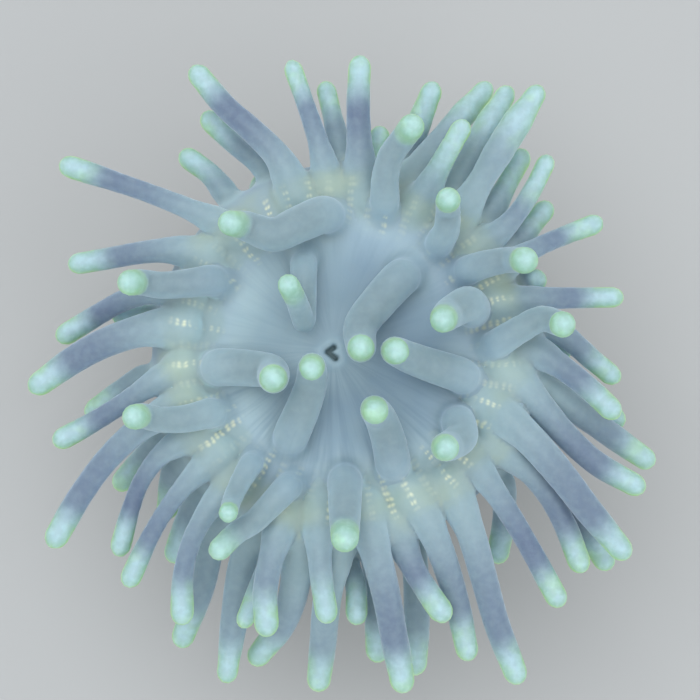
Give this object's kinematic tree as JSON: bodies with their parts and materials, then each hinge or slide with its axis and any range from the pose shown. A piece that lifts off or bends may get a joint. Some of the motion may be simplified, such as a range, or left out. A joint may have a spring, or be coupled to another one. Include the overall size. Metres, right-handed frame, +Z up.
{
  "type": "sea anemone",
  "caption": "Still life-size model of a pale tropical host sea anemone, open, on its flat foot, with a waisted column, an oral disc and a crown of tapering tentacles.",
  "frame": {"origin": "middle of the foot's flat underside", "axes": "+Z up through the column towards the mouth; +Y is the top of the animal as it is usually seen from above, +X its right"},
  "size_m": [0.1016, 0.1017, 0.0674],
  "materials": {
    "tentacle_flesh": "wet satin, translucent, with pale green tips",
    "disc_flesh": "wet satin, translucent, with fine radial lines",
    "lip_flesh": "wet satin",
    "column_flesh": "satin, with small pale suckers",
    "foot_flesh": "satin"
  },
  "bodies": {
    "root": {"column": "column_flesh", "foot": "foot_flesh", "mouth": "lip_flesh", "oral_disc": "disc_flesh", "tentacle_disc_01": "tentacle_flesh", "tentacle_disc_02": "tentacle_flesh", "tentacle_disc_03": "tentacle_flesh", "tentacle_disc_04": "tentacle_flesh", "tentacle_disc_05": "tentacle_flesh", "tentacle_disc_06": "tentacle_flesh", "tentacle_disc_07": "tentacle_flesh", "tentacle_disc_08": "tentacle_flesh", "tentacle_disc_09": "tentacle_flesh", "tentacle_disc_10": "tentacle_flesh", "tentacle_disc_11": "tentacle_flesh", "tentacle_disc_12": "tentacle_flesh", "tentacle_disc_13": "tentacle_flesh", "tentacle_disc_14": "tentacle_flesh", "tentacle_disc_15": "tentacle_flesh", "tentacle_disc_16": "tentacle_flesh", "tentacle_disc_17": "tentacle_flesh", "tentacle_disc_18": "tentacle_flesh", "tentacle_lower_01": "tentacle_flesh", "tentacle_lower_02": "tentacle_flesh", "tentacle_lower_03": "tentacle_flesh", "tentacle_lower_04": "tentacle_flesh", "tentacle_lower_05": "tentacle_flesh", "tentacle_lower_06": "tentacle_flesh", "tentacle_lower_07": "tentacle_flesh", "tentacle_lower_08": "tentacle_flesh", "tentacle_lower_09": "tentacle_flesh", "tentacle_lower_10": "tentacle_flesh", "tentacle_upper_01": "tentacle_flesh", "tentacle_upper_02": "tentacle_flesh", "tentacle_upper_03": "tentacle_flesh", "tentacle_upper_04": "tentacle_flesh", "tentacle_upper_05": "tentacle_flesh", "tentacle_upper_06": "tentacle_flesh", "tentacle_upper_07": "tentacle_flesh", "tentacle_upper_08": "tentacle_flesh", "tentacle_upper_09": "tentacle_flesh", "tentacle_upper_10": "tentacle_flesh", "tentacle_upper_11": "tentacle_flesh", "tentacle_upper_12": "tentacle_flesh", "tentacle_upper_13": "tentacle_flesh", "tentacle_upper_14": "tentacle_flesh", "tentacle_upper_15": "tentacle_flesh", "tentacle_upper_16": "tentacle_flesh", "tentacle_upper_17": "tentacle_flesh", "tentacle_upper_18": "tentacle_flesh", "tentacle_upper_19": "tentacle_flesh", "tentacle_upper_20": "tentacle_flesh", "tentacle_upper_21": "tentacle_flesh", "tentacle_upper_22": "tentacle_flesh", "tentacle_upper_23": "tentacle_flesh", "tentacle_upper_24": "tentacle_flesh", "tentacle_upper_25": "tentacle_flesh", "tentacle_upper_26": "tentacle_flesh", "tentacle_upper_27": "tentacle_flesh", "tentacle_upper_28": "tentacle_flesh"}
  },
  "joints": []
}
